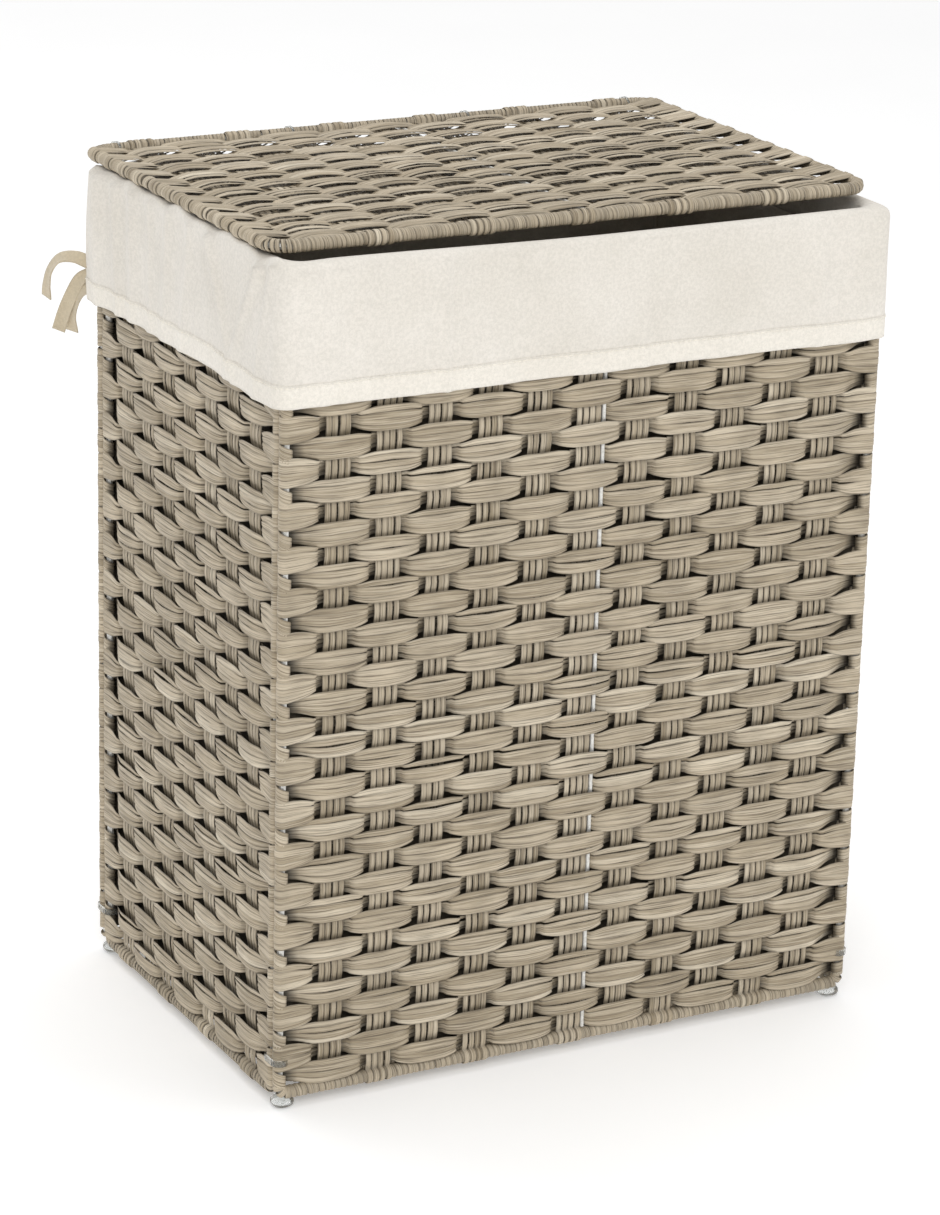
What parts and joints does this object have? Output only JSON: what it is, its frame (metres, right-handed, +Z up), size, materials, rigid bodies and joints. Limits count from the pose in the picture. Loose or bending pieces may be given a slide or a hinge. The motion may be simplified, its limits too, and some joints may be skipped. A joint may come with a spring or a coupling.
{
  "type": "laundry hamper with lid",
  "caption": "Tall rectangular woven hamper with wire-framed panels, a lid hinged at the back, a bottom panel that lifts and a cotton liner with its cuff folded over the rim.",
  "frame": {"origin": "on the floor, under the middle of the hamper's box, lid overhang at the back included and ribbon ends left out", "axes": "+Z up, -Y the front long wall, +X the right short wall, with the lid's hinge along X at the back"},
  "size_m": [0.4839, 0.3395, 0.6],
  "materials": {
    "rattan": "streaked matte synthetic strand",
    "wire": "pale painted steel wire",
    "clear_plastic": "clear nylon",
    "cotton": "plain-woven natural cotton",
    "ribbon": "cream cotton tape"
  },
  "bodies": {
    "root": {"back_centre_rod": "wire", "back_edge_wrap": "rattan", "back_frame_rod": "wire", "back_weave": "rattan", "bottom_hinge_tie_1": "clear_plastic", "bottom_hinge_tie_2": "clear_plastic", "bottom_hinge_tie_3": "clear_plastic", "bottom_hinge_tie_4": "clear_plastic", "corner_tie_back_left_lower": "clear_plastic", "corner_tie_back_left_upper": "clear_plastic", "corner_tie_back_right_lower": "clear_plastic", "corner_tie_back_right_upper": "clear_plastic", "corner_tie_front_left_lower": "clear_plastic", "corner_tie_front_left_upper": "clear_plastic", "corner_tie_front_right_lower": "clear_plastic", "corner_tie_front_right_upper": "clear_plastic", "foot_back_left": "clear_plastic", "foot_back_right": "clear_plastic", "foot_front_left": "clear_plastic", "foot_front_right": "clear_plastic", "front_centre_rod": "wire", "front_edge_wrap": "rattan", "front_frame_rod": "wire", "front_weave": "rattan", "left_edge_wrap": "rattan", "left_frame_rod": "wire", "left_weave": "rattan", "lid_hinge_tie_1": "clear_plastic", "lid_hinge_tie_2": "clear_plastic", "lid_hinge_tie_3": "clear_plastic", "lid_hinge_tie_4": "clear_plastic", "liner_bag": "cotton", "liner_cuff": "cotton", "ribbon_tail_back": "ribbon", "ribbon_tail_lower": "ribbon", "ribbon_tail_upper": "ribbon", "right_edge_wrap": "rattan", "right_frame_rod": "wire", "right_weave": "rattan"},
    "lid": {"lid_centre_rod": "wire", "lid_edge_wrap": "rattan", "lid_frame_rod": "wire", "lid_weave": "rattan"},
    "bottom_panel": {"bottom_centre_rod": "wire", "bottom_edge_wrap": "rattan", "bottom_frame_rod": "wire", "bottom_weave": "rattan"}
  },
  "joints": [
    {"name": "lid_hinge", "type": "hinge", "parent": "root", "child": "lid", "pos_m": [0, 0.15575, 0.594], "axis": [-1, 0, 0], "range_deg": [0, 265]},
    {"name": "bottom_panel_lift", "type": "hinge", "parent": "root", "child": "bottom_panel", "pos_m": [0, 0.13325, 0.0168], "axis": [-1, 0, 0], "range_deg": [0, 88], "deforming": ["liner_bag"]}
  ]
}
